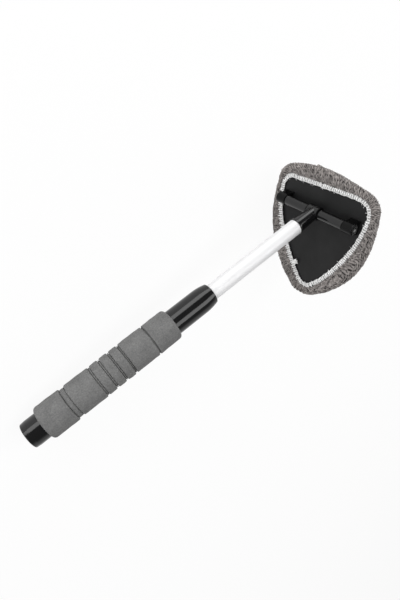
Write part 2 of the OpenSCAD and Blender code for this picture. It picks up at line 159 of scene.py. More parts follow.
def tube(points, radius, sides, store, taper=None):
    """Adds a closed tube along points, in mm, to store, a pair of lists of points and faces."""
    p = np.asarray(points, float)
    n = len(p)
    along = np.gradient(p, axis=0)
    along /= np.linalg.norm(along, axis=1)[:, None]
    side = np.cross(along[0], ASIDE)
    thick = radius * (np.ones(n) if taper is None else taper)
    base = len(store[0])
    for k in range(n):
        side = side - along[k] * np.dot(side, along[k])
        side /= np.linalg.norm(side)
        other = np.cross(along[k], side)
        for t in np.arange(sides) * TURN / sides:
            store[0].append(p[k] + thick[k] * (math.cos(t) * side + math.sin(t) * other))
    for k in range(n - 1):
        for i in range(sides):
            j = (i + 1) % sides
            q = base + k * sides
            store[1].append((q + i, q + j, q + sides + j, q + sides + i))
    store[1].append(tuple(base + i for i in reversed(range(sides))))
    store[1].append(tuple(base + (n - 1) * sides + i for i in range(sides)))


# The head's outlines: three corner arcs joined by three bowed sides, each point with its outward normal
BOW_STEPS = 150
CORNER_STEPS = 98
STATIONS = 3 * (BOW_STEPS + CORNER_STEPS)
# How far the cloth's edge and the hem are drawn out of those lines, in mm, at equal steps round
EDGE_DRAWN = (0.2, 0.2, 0, -1.1, -1.4, -2, -2.1, -1.8, -2.2, 0.1, 0.9, 0.7,
              0.9, -1, -0.9, 0.3, 0.9, 0.6, -0.6, -1.5, -3.6, -2.3, -1.6, -0.3)
HEM_DRAWN = (-1.9, -1.6, -1.3, -0.6, 0.8, 0.2, 0.6, 0.4, 1.4, 1.8, 0.8, 1.1,
             1.1, -1, -2.1, -2.9, -3.2, -3, -0.8, 1.2, 0.3, -1.7, -1.7, -1.4)
DRAWN_BLUR = 45  # stations, an odd number
# The hem stands off the plate along its left side, most at the middle of that side
HEM_LIFT = 1.1
LIFT_AT = (34.0, -34.0)
LIFT_REACH = 40.0
WAVE_SPREAD = (0.4, 1.0)
WAVE_POWER = 0.27  # about the mean square of a sine of that spread


def bearing(m, n):
    """The angle of the direction from m to n."""
    return math.atan2(n[1] - m[1], n[0] - m[0])


def bow_centre(i, bows):
    """The centre of side i, whose arc touches the corners at both its ends."""
    (a, ra), (b, rb) = CORNERS[i], CORNERS[(i + 1) % 3]
    a, b = np.array(a), np.array(b)
    ra, rb = bows[i] - ra, bows[i] - rb
    d = np.linalg.norm(b - a)
    ex = (b - a) / d
    ey = np.array((-ex[1], ex[0]))
    along = (ra * ra - rb * rb + d * d) / (2 * d)
    rise = math.sqrt(ra * ra - along * along)
    return a + along * ex + (rise if np.dot(-a, ey) > 0 else -rise) * ey


def arc(centre, radius, a, b, steps):
    """Points and normals from angle a to angle b, the short way and without the last."""
    sweep = (b - a + 3 * math.pi) % TURN - math.pi
    t = a + sweep * np.arange(steps) / steps
    normal = np.stack([np.cos(t), np.sin(t)], -1)
    return centre + radius * normal, normal


def outline(bows):
    """Points and normals all round, from the first corner on."""
    parts = []
    for i in range(3):
        j = (i + 1) % 3
        here, there = np.array(CORNERS[i][0]), np.array(CORNERS[j][0])
        c, d = bow_centre(i, bows), bow_centre(j, bows)
        parts.append(arc(c, bows[i], bearing(c, here), bearing(c, there), BOW_STEPS))
        parts.append(arc(there, CORNERS[j][1], bearing(c, there), bearing(d, there), CORNER_STEPS))
    points, normals = zip(*parts)
    return np.concatenate(points), np.concatenate(normals)


def drawn(steps):
    """The steps, each at the middle of its run of stations, as one smooth closed line."""
    middles = (np.arange(len(steps)) + 0.5) / len(steps)
    level = np.interp((np.arange(STATIONS) + 0.5) / STATIONS, middles, steps, period=1.0)
    blur, half = np.hanning(DRAWN_BLUR), DRAWN_BLUR // 2
    level = np.concatenate([level[-half:], level, level[:half]])
    return np.convolve(level, blur / blur.sum(), "valid")


def ring(line, out, o, z, share=1.0):
    """One row of points: an outline moved o mm out, shrunk to a share of itself, at height z."""
    xy = share * (line + np.asarray(o, float)[..., None] * out)
    return np.concatenate([xy, np.broadcast_to(np.asarray(z, float), (len(xy),))[:, None]], 1)


hem_line, hem_out = outline(HEM_BOWS)
cloth_line, cloth_out = outline(CLOTH_BOWS)
hem_step = np.linalg.norm(np.roll(hem_line, -1, 0) - hem_line, axis=1)
hem_run = np.concatenate([[0.0], np.cumsum(hem_step)])
HEM_LENGTH = hem_run[-1]
hem_drawn = drawn(HEM_DRAWN)
left_side = np.exp(-(np.linalg.norm(hem_line - np.array(LIFT_AT), axis=1) / LIFT_REACH) ** 4)


def along_hem(run, values):
    """What is given at every station of the hem line, at a distance along that line."""
    return np.interp(run % HEM_LENGTH, hem_run, np.append(values, values[0]))


def hem_at(run, o, z):
    """A point of the head's frame at a distance along the hem line, o mm outside it, lifted with it."""
    x, y = along_hem(run, hem_line[:, 0]), along_hem(run, hem_line[:, 1])
    nx, ny = along_hem(run, hem_out[:, 0]), along_hem(run, hem_out[:, 1])
    o = o + along_hem(run, hem_drawn)
    return np.array((x + o * nx, y + o * ny, z + HEM_LIFT * along_hem(run, left_side)))


def waves(t, seed, low, high):
    """A smooth closed line of about unit size, t from 0 to 1, of low to high - 1 waves a turn."""
    rng = np.random.RandomState(seed)
    total = np.zeros_like(t)
    for k in range(low, high):
        total += rng.uniform(*WAVE_SPREAD) * np.sin(TURN * (k * t + rng.rand()))
    return total / math.sqrt(WAVE_POWER * (high - low))


# Materials. Scales are waves per metre and depths are in metres.
def shader(name):
    m = bpy.data.materials.new(name)
    m.use_nodes = True
    tree = m.node_tree
    return m, tree, tree.nodes["Principled BSDF"]


def fill(tree, socket, value):
    """Links a socket to value, or sets it to that where value is a constant."""
    if isinstance(value, bpy.types.NodeSocket):
        tree.links.new(value, socket)
    else:
        socket.default_value = value


def node(tree, kind, inputs=(), **settings):
    n = tree.nodes.new(kind)
    for key, value in settings.items():
        setattr(n, key, value)
    for key, value in dict(inputs).items():
        fill(tree, n.inputs[key], value)
    return n


def join(tree, bsdf, **sockets):
    for key, value in sockets.items():
        fill(tree, bsdf.inputs[key.replace("_", " ")], value)


def coords(tree, scale=(1, 1, 1), along_wand=False):
    """Object coordinates, or the wand's own, scaled."""
    out = node(tree, "ShaderNodeTexCoord").outputs["Object"]
    if along_wand:
        turn = Matrix((wand_x, hinge_y, wand_z)).to_euler()
        out = node(tree, "ShaderNodeMapping", {"Vector": out, "Rotation": turn}).outputs[0]
    return node(tree, "ShaderNodeMapping", {"Vector": out, "Scale": scale}).outputs[0]


def noise(tree, vector, scale, detail=3.0, rough=0.5):
    inputs = {"Vector": vector, "Scale": scale, "Detail": detail, "Roughness": rough}
    return node(tree, "ShaderNodeTexNoise", inputs).outputs["Fac"]


def ramp(tree, value, low, high, low_at=0.3, high_at=0.7):
    """A colour or level that runs from low to high as value runs from low_at to high_at."""
    n = node(tree, "ShaderNodeValToRGB", {"Fac": value})
    for e, at, c in zip(n.color_ramp.elements, (low_at, high_at), (low, high)):
        e.position = at
        e.color = (*c, 1) if hasattr(c, "__len__") else (c, c, c, 1)
    return n.outputs["Color"]


def bump(tree, height, strength, distance, normal=None):
    inputs = {"Height": height, "Strength": strength, "Distance": distance}
    if normal is not None:
        inputs["Normal"] = normal
    return node(tree, "ShaderNodeBump", inputs).outputs["Normal"]


def mix(tree, factor, a, b, blend="MIX"):
    """Two colours mixed by a factor."""
    return node(tree, "ShaderNodeMix", {0: factor, 6: a, 7: b},
                data_type="RGBA", blend_type=blend).outputs[2]


def math_node(tree, operation, *values):
    return node(tree, "ShaderNodeMath", dict(enumerate(values)), operation=operation).outputs[0]


def clouds(tree, at):
    """The slow unevenness of a moulded colour."""
    return noise(tree, at, scale=60, detail=4)


def smears(tree, at):
    """The unevenness of a moulded gloss."""
    return noise(tree, at, scale=180, detail=5)


def plastic(name, dark, light, smooth, rough, grain, depth, gloss=0.5):
    """Moulded plastic: a slight cloudiness in its colour and gloss, and a fine grain."""
    m, tree, bsdf = shader(name)
    at = coords(tree)
    join(tree, bsdf, Base_Color=ramp(tree, clouds(tree, at), dark, light),
         Roughness=ramp(tree, smears(tree, at), smooth, rough), Specular_IOR_Level=gloss,
         Normal=bump(tree, noise(tree, at, grain, detail=2), strength=0.5, distance=depth))
    return m


LUG_FROM, LUG_TO = 0.5, 2.5  # mm over the back of the plate
LUG_COLOUR = (0.003, 0.003, 0.003, 1)
LUG_ROUGH = 0.1


def plate_material():
    """Satin black plastic whose lugs, above the plate's back, are darker and polished by the yoke."""
    m, tree, bsdf = shader("plate")
    at = coords(tree)
    high = node(tree, "ShaderNodeVectorMath", {0: at, 1: tuple(head_z)},
                operation="DOT_PRODUCT").outputs["Value"]
    back = float(np.dot(pivot, head_z)) - MM * PIVOT_H
    lug = node(tree, "ShaderNodeMapRange",
               {0: high, 1: back + LUG_FROM * MM, 2: back + LUG_TO * MM}).outputs[0]
    satin = ramp(tree, clouds(tree, at), (0.012, 0.012, 0.0122), (0.0165, 0.0165, 0.0167))
    rough = node(tree, "ShaderNodeMix",
                 {0: lug, 2: ramp(tree, smears(tree, at), 0.34, 0.46), 3: LUG_ROUGH}).outputs[0]
    grain = bump(tree, noise(tree, at, 2600, detail=2), strength=0.4, distance=0.00003)
    join(tree, bsdf, Base_Color=mix(tree, lug, satin, LUG_COLOUR), Roughness=rough,
         Specular_IOR_Level=0.15, Normal=grain)
    return m


def foam_material():
    """Closed-cell foam: specks of pores in a matt grey."""
    m, tree, bsdf = shader("foam")
    at = coords(tree)
    pores = node(tree, "ShaderNodeTexVoronoi", {"Vector": at, "Scale": 1500.0}).outputs["Distance"]
    specks = noise(tree, at, 800, detail=3, rough=0.7)
    lumps = noise(tree, at, 420, detail=4)
    grey = ramp(tree, noise(tree, at, 90, detail=3), (0.14, 0.14, 0.139), (0.172, 0.172, 0.17))
    shade = ramp(tree, specks, (0.7,) * 3, (1.2,) * 3, 0.3, 0.68)
    pitted = bump(tree, pores, strength=0.3, distance=0.00025)
    uneven = bump(tree, lumps, strength=0.2, distance=0.0003, normal=pitted)
    join(tree, bsdf, Base_Color=mix(tree, 1.0, grey, shade, "MULTIPLY"), Specular_IOR_Level=0.3,
         Roughness=ramp(tree, specks, 0.82, 0.96), Normal=uneven)
    return m


def metal(name, low, high, smooth, rough, lines, depth, metallic=1.0):
    """Metal with streaks scaled by lines in the wand's axes. Metallic is under 1 for a satin skin."""
    m, tree, bsdf = shader(name)
    streak = noise(tree, coords(tree, lines, along_wand=True), 1.0, detail=1.0, rough=0.6)
    join(tree, bsdf, Base_Color=ramp(tree, streak, low, high), Metallic=metallic,
         Roughness=ramp(tree, streak, smooth, rough),
         Normal=bump(tree, streak, strength=0.25, distance=depth))
    return m


def cloth_material():
    """Microfibre: fine fibres, and painted shade in the valleys between the pile's nubs, painted light on their
    tops.
    """
    m, tree, bsdf = shader("microfibre")
    at = coords(tree)
    tone = ramp(tree, noise(tree, at, 300, detail=3), (0.202, 0.184, 0.176), (0.284, 0.261, 0.25))
    fibre = noise(tree, at, 3200, detail=3, rough=0.7)
    shade = ramp(tree, fibre, (0.7,) * 3, (1.2,) * 3)
    high = node(tree, "ShaderNodeAttribute", attribute_name="pile").outputs["Fac"]
    # painted shade: the colour darkens down into the pile's valleys and lightens on the nubs' tops
    painted_pile_shade = ramp(tree, high, (0.06,) * 3, (1.52,) * 3, 0.23, 0.86)
    colour = mix(tree, 1.0, mix(tree, 1.0, tone, shade, "MULTIPLY"), painted_pile_shade, "MULTIPLY")
    join(tree, bsdf, Base_Color=colour, Roughness=0.95, Specular_IOR_Level=0.15,
         Sheen_Weight=0.25, Sheen_Roughness=0.4,
         Normal=bump(tree, fibre, strength=0.8, distance=0.0005))
    return m


def thread_material(name, low, high):
    """Spun or spongy stuff with a fine, matt unevenness."""
    m, tree, bsdf = shader(name)
    twist = noise(tree, coords(tree), 2600, detail=3, rough=0.7)
    join(tree, bsdf, Base_Color=ramp(tree, twist, low, high), Roughness=0.85,
         Specular_IOR_Level=0.25, Sheen_Weight=0.15,
         Normal=bump(tree, twist, strength=0.6, distance=0.0003))
    return m


GLOSS = plastic("gloss_black", dark=(0.0025, 0.0025, 0.0027), light=(0.0045, 0.0045, 0.0048),
                smooth=0.08, rough=0.13, grain=900, depth=0.000005)
SATIN = plastic("satin_black", dark=(0.013, 0.013, 0.0132), light=(0.018, 0.018, 0.0182),
                smooth=0.34, rough=0.46, grain=2600, depth=0.00006, gloss=0.14)
PLATE = plate_material()
GREY_TUBE = plastic("handle_tube", dark=(0.05, 0.05, 0.05), light=(0.07, 0.07, 0.07),
                    smooth=0.4, rough=0.55, grain=2000, depth=0.00005)
NYLON = plastic("white_plastic", dark=(0.74, 0.74, 0.72), light=(0.82, 0.82, 0.8),
                smooth=0.35, rough=0.5, grain=1500, depth=0.00004)
FOAM = foam_material()
POLE = metal("pole", low=(0.775, 0.775, 0.78), high=(0.805, 0.805, 0.81), smooth=0.62, rough=0.67,
             lines=(0.3, 300, 300), depth=0.000002, metallic=0.6)
STEEL = metal("steel", low=(0.14, 0.14, 0.14), high=(0.24, 0.24, 0.24), smooth=0.16, rough=0.28,
              lines=(300, 300, 300), depth=0.00001)
SPONGE = thread_material("sponge", (0.6, 0.48, 0.2), (0.78, 0.66, 0.34))
CLOTH = cloth_material()
THREAD = thread_material("hem_thread", (0.9, 0.9, 0.895), (0.97, 0.97, 0.965))
# the band under the threads is grey: painted shade in the gaps between the white stitches
GAP_SHADE_BAND = thread_material("hem_gap_shade", (0.32, 0.316, 0.313), (0.5, 0.496, 0.492))
RUBBER = thread_material("elastic", (0.72, 0.72, 0.7), (0.84, 0.84, 0.82))

FINISH = {"handle_tube": GREY_TUBE, "end_cap": GLOSS, "front_collar": GLOSS, "yoke": GLOSS,
          "guide_bush": NYLON, "cam_ring": NYLON, "pole_tube": POLE, "lock_plug": SATIN,
          "base_plate": PLATE, "hinge_pin": STEEL}
for name, finish in FINISH.items():
    for s in nodes[name].material_slots:
        s.material = finish


# The foam grip: bands crowned a little between soft grooves, all in mm
FOAM_SIDES = 144
ROUND_STEPS = 9
BAND_STEP = 0.8
BAND_CROWN, CROWN_FULL = 0.12, 0.7  # the less the second is, the fuller the crown
# A groove's crease starts, is deepest and ends at these distances below the groove's even floor
CREASE_START, CREASE_DEEP, CREASE_END = 0.6, 0.9, 0.5
CREASE_FROM = 0.03
FLOOR_STEPS = 5
FLOOR_LIFT, FLOOR_CROWN = 0.15, 0.2
FLOOR_FROM = 1.6  # crease widths from the groove's edge
DENT = 0.10
DENT_DRIFT, DENT_SWAY = 0.13, 0.21  # turns, and radians per mm along the grip
DENT_CLEAR = 2.0  # no dents closer than this to the tube


def quarter_round(x, r, e, rising):
    """A rounded edge of radius e up from the face at x, or down to it."""
    if rising:
        return [(x + e - e * math.cos(a), r - e + e * math.sin(a))
                for a in np.linspace(0, QUARTER, ROUND_STEPS)]
    return [(x - e + e * math.sin(a), r - e + e * math.cos(a))
            for a in np.linspace(0, QUARTER, ROUND_STEPS)]


def groove_profile(gap, crease):
    """The floor of a groove with a crease at each edge, from its first edge on."""
    floor = FOAM_R - GROOVE_DEPTH
    points = [(CREASE_FROM, floor - CREASE_START), (0.5 * crease, floor - CREASE_DEEP),
              (crease, floor - CREASE_END)]
    flat_l = gap - 2 * FLOOR_FROM * crease
    for t in np.linspace(0, 1, FLOOR_STEPS) if gap > 3 * crease else ():
        points.append((FLOOR_FROM * crease + t * flat_l,
                       floor + FLOOR_LIFT + FLOOR_CROWN * math.sin(math.pi * t)))
    return points + [(gap - t, r) for t, r in points[2::-1]]


def foam_profile():
    """The foam's section from the end cap to the collar: distances along and from the pole's axis."""
    points = [(CAP_L, TUBE_R)]
    x = CAP_L
    for k, (length, gap, crease) in enumerate(BANDS):
        r = FOAM_R + (SWELL if k == 0 else 0.0)
        e_in = FOAM_ROUND if k == 0 else BAND_ROUND
        e_out = BAND_ROUND if gap else FOAM_ROUND
        points += quarter_round(x, r, e_in, True)
        for t in np.linspace(0, 1, int(length / BAND_STEP))[1:-1]:
            points.append((x + e_in + t * (length - e_in - e_out),
                           r + BAND_CROWN * math.sin(math.pi * t) ** CROWN_FULL))
        points += quarter_round(x + length, r, e_out, False)
        x += length
        if gap:
            points += [(x + t, r) for t, r in groove_profile(gap, crease)]
            x += gap
    points.append((x, TUBE_R))
    return np.array(points)


profile = foam_profile()
angle = np.arange(FOAM_SIDES) * TURN / FOAM_SIDES
dent_t = [angle / TURN + DENT_DRIFT * math.sin(DENT_SWAY * x) for x in profile[:, 0]]
dent = np.stack([DENT * waves(t, seed=7, low=1, high=5) for t in dent_t])
dent[[0, -1]] = 0.0
radius = profile[:, 1:] + dent * (profile[:, 1:] > TUBE_R + DENT_CLEAR)
foam_points = wand_point(profile[:, :1], radius, angle[None, :]).reshape(-1, 3)
foam_faces = outward(foam_points, grid_faces(len(profile), FOAM_SIDES, closed_rows=True))
foam = add_mesh("foam_sleeve", foam_points, foam_faces, FOAM, "handle")
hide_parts("foam_grip")


# The bonnet: rings from the floor of its cavity round the mouth, over the roll and to the wiping face
LIP_ROWS = 10
ROLL_ROWS = 14
SIDE_ROWS = 34
side_out = SIDE_OUT + drawn(EDGE_DRAWN)


def side_ring(inset, z, a):
    """A row of the cloth's side, at angle a from its widest line to height z, inset mm further in."""
    return ring(cloth_line, cloth_out, side_out - inset * (1 - math.cos(a)),
                WIDEST + (z - WIDEST) * math.sin(a))


inner = [ring(hem_line, hem_out, 0.0, CAVITY_FRONT, FACE_SHARE),
         ring(hem_line, hem_out, CAVITY - CAVITY_BEVEL, CAVITY_FRONT),
         ring(hem_line, hem_out, CAVITY, CAVITY_FRONT + CAVITY_BEVEL),
         ring(hem_line, hem_out, CAVITY, -CLOTH_GAP),
         ring(hem_line, hem_out, CAVITY - CLOTH_GAP, CLOTH_GAP),
         ring(hem_line, hem_out, MOUTH + hem_drawn, CLOTH_GAP)]
lip = ring(hem_line, hem_out, MOUTH + hem_drawn, HEM_T)
roll_top = ring(cloth_line, cloth_out, side_out - ROLL_IN, ROLL_H)
outer = []
for a in QUARTER * np.linspace(0, 1, LIP_ROWS):
    row = lip + (1 - math.cos(a)) * (roll_top - lip)
    row[:, 2] = lip[:, 2] + math.sin(a) * (roll_top[:, 2] - lip[:, 2])
    outer.append(row)
outer += [side_ring(ROLL_IN, ROLL_H, a) for a in np.linspace(QUARTER, 0, ROLL_ROWS)[1:]]
outer += [side_ring(FACE_IN, CLOTH_FRONT, a) for a in np.linspace(0, QUARTER, SIDE_ROWS)[1:]]
last = len(outer) - 1

# Where each point of the outer cloth lies on the flat cloth, in mm
run = np.zeros((len(outer), STATIONS))
for k in range(last - 1, -1, -1):
    run[k] = run[k + 1] + np.linalg.norm(outer[k] - outer[k + 1], axis=1)
flat = [outer[last][:, :2] + run[k][:, None] * cloth_out for k in range(len(outer))]

# Slow unevenness, gathers at the mouth and one fold over the base side, as heights in mm
SLOW = 0.35
PUCKER = 0.45
PUCKER_ALL, PUCKER_CORNER = 0.35, 0.65
CORNER_REACH = 26.0
FOLD = 2.0
FOLD_ON_SIDE = 0.7
FOLD_Y = -15.0
FOLD_SLOPE, FOLD_STEEP = 8.0, 0.8
FOLD_CREASE, FOLD_CREASE_AT, FOLD_CREASE_HALF = 0.6, 2.2, 1.6
# Where the gathers and the side are, and how far they spread, as shares of the rows from mouth to face
MOUTH_AT, MOUTH_SPREAD = 0.2, 0.16
SIDE_AT, SIDE_SPREAD = 0.45, 0.25
HELD_MOUTH, HELD_FACE = 5.0, 8.0  # rows over which the cloth comes free of the mouth and of the face


def hump(t, at, spread):
    return np.exp(-((t - at) / spread) ** 2)


turn_t = np.arange(STATIONS) / STATIONS
corner_gap = [np.linalg.norm(cloth_line - np.array(centre), axis=1) for centre, _ in CORNERS]
corner_near = np.exp(-np.minimum.reduce(corner_gap) ** 2 / CORNER_REACH ** 2)
slow = waves(turn_t, seed=21, low=3, high=11)
pucker = waves(turn_t, seed=22, low=18, high=46) * (PUCKER_ALL + PUCKER_CORNER * corner_near)
(base_x, base_half), _ = CORNERS[1]
on_base = (cloth_line[:, 0] < base_x) & (np.abs(cloth_line[:, 1]) < base_half)
fold_gap = cloth_line[:, 1] - FOLD_Y
ridge = np.where(fold_gap > 0, np.exp(-fold_gap / FOLD_SLOPE), np.exp(fold_gap / FOLD_STEEP))
fold = np.where(on_base, ridge - FOLD_CREASE * hump(fold_gap, -FOLD_CREASE_AT, FOLD_CREASE_HALF), 0.0)
for k in range(1, last):
    t = k / last
    mouth_near, side_near = hump(t, MOUTH_AT, MOUTH_SPREAD), hump(t, SIDE_AT, SIDE_SPREAD)
    held = min(1.0, k / HELD_MOUTH) * min(1.0, (last - k) / HELD_FACE)
    lift = held * (SLOW * slow * side_near + PUCKER * pucker * mouth_near
                   + FOLD * fold * (mouth_near + FOLD_ON_SIDE * side_near))
    d = outer[k + 1] - outer[k - 1]
    section = np.stack([d[:, 0] * cloth_out[:, 0] + d[:, 1] * cloth_out[:, 1], d[:, 2]], -1)
    section /= np.linalg.norm(section, axis=1)[:, None]
    outer[k][:, :2] += (lift * -section[:, 1])[:, None] * cloth_out
    outer[k][:, 2] += lift * section[:, 0]

# The wiping face: rows shrinking to the middle, with half the points wherever they come too close
FACE_ROWS = 86
FACE_MIDDLE = 3  # rows left to one face at the middle
THIN_FROM = 1.6
CROWN_CURVE = 0.8
rows = inner + outer
places = [row[:, :2] for row in inner] + flat
count = STATIONS
for k in range(FACE_ROWS - FACE_MIDDLE):
    share = 1 - (k + 1) / FACE_ROWS
    if count > STATIONS * share * THIN_FROM and count % 2 == 0:
        count //= 2
    pick = slice(None, None, STATIONS // count)
    z = CLOTH_FRONT - CROWN * min(1.0, (1 - share) / (1 - FACE_SHARE)) ** CROWN_CURVE
    row = ring(cloth_line[pick], cloth_out[pick], side_out[pick] - FACE_IN, z, share)
    rows.append(row)
    places.append(row[:, :2])

starts = np.cumsum([0] + [len(row) for row in rows])
cloth_faces = [tuple(range(STATIONS))]
for k in range(len(rows) - 1):
    a, b, m, n = starts[k], starts[k + 1], len(rows[k]), len(rows[k + 1])
    for i in range(n):
        j = (i + 1) % n
        if m == n:
            cloth_faces.append((a + i, b + i, b + j, a + j))
        else:
            i0, i1, i2 = a + 2 * i, a + 2 * i + 1, a + (2 * i + 2) % m
            cloth_faces += [(i0, b + i, i1), (i1, b + i, b + j), (i1, b + j, i2)]
cloth_faces.append(tuple(range(starts[-2], starts[-1]))[::-1])

# The pile: nubs in staggered rows, their pitch along and across the rows and their own half sizes in mm
NUB_LONG, NUB_WIDE = 3.3, 1.95
NUB_HALF_L, NUB_HALF_W = 2.6, 0.98
# The least place of a nub in its pitch and the play beyond it, along and across the rows
NUB_AT_L, NUB_PLAY_L = 0.3, 0.4
NUB_AT_W, NUB_PLAY_W = 0.4, 0.2
NUB_TURN = 0.7
NUB_LOW = 0.6
ROW_TURN = math.radians(-42)
ROW_SWAY, ROW_RIPPLE = 0.5, 0.1
PILE = 1.75
PILE_MEAN = 0.64
# the pile height given to the rows at the mouth, which sets the painted shade there
PILE_SHADE_AT_HEM = 0.5
PILE_FADE = 4  # rows at the mouth
FLOOR_GAP = 0.0001
CHANCE = (12.9898, 78.233, 37.719, 43758.5453)  # stirring numbers


def chance(i, j, k):
    """A number from 0 to 1 that belongs to the k-th choice for nub i of row j."""
    a, b, c, wide = CHANCE
    return np.modf(np.abs(np.sin(i * a + j * b + k * c) * wide))[0]


def pile_height(place):
    """Height from 0 to 1 of the nubs, long loops that stand in wavering rows on the flat cloth."""
    x, y = place[:, 0], place[:, 1]
    u = (math.cos(ROW_TURN) * x + math.sin(ROW_TURN) * y) / NUB_LONG
    v = (math.cos(ROW_TURN) * y - math.sin(ROW_TURN) * x) / NUB_WIDE
    u, v = (u + ROW_SWAY * np.sin(v / 2.3 + u / 6.1),
            v + ROW_SWAY * np.sin(u / 2.9 + 0.7) + ROW_RIPPLE * np.sin(1.5 * u + 1.3 * v))
    high = np.zeros_like(x)
    for row_step in (-1, 0, 1):
        j = np.floor(v) + row_step
        stagger = 0.5 * np.mod(j, 2)
        for nub_step in (-1, 0, 1):
            i = np.floor(u - stagger) + nub_step
            du = (u - (i + stagger + NUB_AT_L + NUB_PLAY_L * chance(i, j, 1))) * NUB_LONG
            dv = (v - (j + NUB_AT_W + NUB_PLAY_W * chance(i, j, 2))) * NUB_WIDE
            turn = NUB_TURN * (chance(i, j, 3) - 0.5)
            along = du * np.cos(turn) + dv * np.sin(turn)
            across = dv * np.cos(turn) - du * np.sin(turn)
            near = (along / NUB_HALF_L) ** 2 + (across / NUB_HALF_W) ** 2
            top = NUB_LOW + (1 - NUB_LOW) * chance(i, j, 4)
            high = np.maximum(high, top * np.sqrt(np.clip(1 - near, 0, 1)))
    return high


cloth_points = head_point(np.concatenate(rows))
cloth_faces = outward(cloth_points, cloth_faces)
bonnet = add_mesh("bonnet_cloth", cloth_points, cloth_faces, CLOTH, "head")
normals = np.zeros(len(cloth_points) * 3)
bonnet.data.vertices.foreach_get("normal", normals)
normals = normals.reshape(-1, 3)
pile = pile_height(np.concatenate(places))
pile[:starts[len(inner)]] = PILE_MEAN
fade = np.ones(len(pile))
for k in range(PILE_FADE):
    fade[starts[len(inner) + k]:starts[len(inner) + k + 1]] = k / PILE_FADE
cloth_points = cloth_points + MM * (PILE * fade * (pile - PILE_MEAN))[:, None] * normals
cloth_points[:, 2] = np.maximum(cloth_points[:, 2], FLOOR_GAP)
bonnet.data.vertices.foreach_set("co", cloth_points.ravel())
# the pile's height, from which the cloth's material paints shade into the valleys and light onto the tops
layer = bonnet.data.attributes.new("pile", "FLOAT", "POINT")
layer.data.foreach_set("value", np.where(fade > 0, pile, PILE_SHADE_AT_HEM))
bonnet.data.update()
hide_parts("bonnet")


# The hem: a soft band round the mouth, overlocked with thread that runs on to the cloth, in mm
BAND_STATIONS = 620
BAND_IN, BAND_OUT = 0.45, 0.35  # how far the band's edges stand inside the CAD hem's
RAGGED_IN, RAGGED_OUT, RAGGED_TOP = 0.2, 0.35, 0.2
BAND_SHOULDER = 1.2
# The band's section: shares of its width out from the inner edge, and heights
BAND_SECTION = ((0.0, 0.5), (0.0, 0.95), (0.12, 1.4), (0.33, 1.72),
                (0.6, 1.78), (0.85, 1.5), (1.0, 1.1), (1.0, 0.5))
STITCH_STEP = 2.35
STITCH_IN, STITCH_LOW = 0.1, 0.6
STITCH_SLIP = 0.4
STITCH_LEAN, LEAN_SLIP = 0.22, 0.2
STITCH_SHARES = (0.0, 0.12, 0.3, 0.5, 0.7, 0.88, 1.0)
STITCH_PROUD = (0.1, 0.3)
STITCH_TAIL = (0.2, 1.0)
LONG_TAIL, LONG_CHANCE = (0.4, 1.4), 0.35
TAIL_LEAN = 1.2
TAIL_UP, TAIL_DOWN = np.array((0, 0, 0.5)), np.array((0, 0, -0.4))
THREAD_R = 0.56
THREAD_SPREAD = (0.8, 1.12)
THREAD_SIDES = 6

rng = np.random.RandomState(5)
hem_store = ([], [])
band_run = np.arange(BAND_STATIONS) * HEM_LENGTH / BAND_STATIONS
band_t = band_run / HEM_LENGTH
edge_in = -HEM_HALF + BAND_IN + RAGGED_IN * waves(band_t, seed=31, low=14, high=60)
edge_out = HEM_HALF - BAND_OUT + RAGGED_OUT * waves(band_t, seed=33, low=14, high=70)
rise = RAGGED_TOP * waves(band_t, seed=32, low=9, high=70)
band_mm = [hem_at(band_run[i], edge_in[i] + share * (edge_out[i] - edge_in[i]),
                  z + (rise[i] if z > BAND_SHOULDER else 0.0))
           for i in range(BAND_STATIONS) for share, z in BAND_SECTION]


def on_band(at, share):
    """A point on the top of the band, share of its width out from its inner edge."""
    low, high, lift = (np.interp(at % HEM_LENGTH, band_run, v) for v in (edge_in, edge_out, rise))
    z = np.interp(share, *zip(*BAND_SECTION[1:-1]))
    return hem_at(at, low + share * (high - low), z + lift)


def either_way(most):
    return rng.uniform(-most, most)


stitches = int(HEM_LENGTH / STITCH_STEP)
for s in range(stitches):
    at = s * HEM_LENGTH / stitches + either_way(STITCH_SLIP)
    lean = (STITCH_LEAN if s % 2 else -STITCH_LEAN) + either_way(LEAN_SLIP)
    up = np.array((0, 0, rng.uniform(*STITCH_PROUD)))
    inside = np.interp(at % HEM_LENGTH, band_run, edge_in) - STITCH_IN
    path = [hem_at(at - lean, inside, STITCH_LOW)]
    path += [on_band(at + (2 * share - 1) * lean, share) + up for share in STITCH_SHARES]
    tail = rng.uniform(*STITCH_TAIL)
    if rng.rand() < LONG_CHANCE:
        tail += rng.uniform(*LONG_TAIL)
    end = path[-1] + (hem_at(at + TAIL_LEAN * lean, tail, 0) - hem_at(at + lean, 0, 0))
    path += [end + TAIL_UP, end + TAIL_DOWN]
    tube(path, THREAD_R * rng.uniform(*THREAD_SPREAD), THREAD_SIDES, hem_store)

# Looper threads chained along the inner edge and the needle's thread along the outer one:
# each with its share of the band's width, its radius and its phase
CHAINS = ((0.02, 0.25, 0.0), (0.02, 0.25, 0.5), (0.86, 0.2, 0.25))
CHAIN_STEPS = 4
CHAIN_SIDES = 5
CHAIN_UP, CHAIN_WAVE = 0.3, 0.2
steps = stitches * CHAIN_STEPS
for share, thick, phase in CHAINS:
    path = []
    for k in range(steps):
        up = CHAIN_UP + CHAIN_WAVE * math.sin(TURN * (k / CHAIN_STEPS + phase))
        path.append(on_band(k * HEM_LENGTH / steps, share) + np.array((0, 0, up)))
    tube(path, thick, CHAIN_SIDES, hem_store)

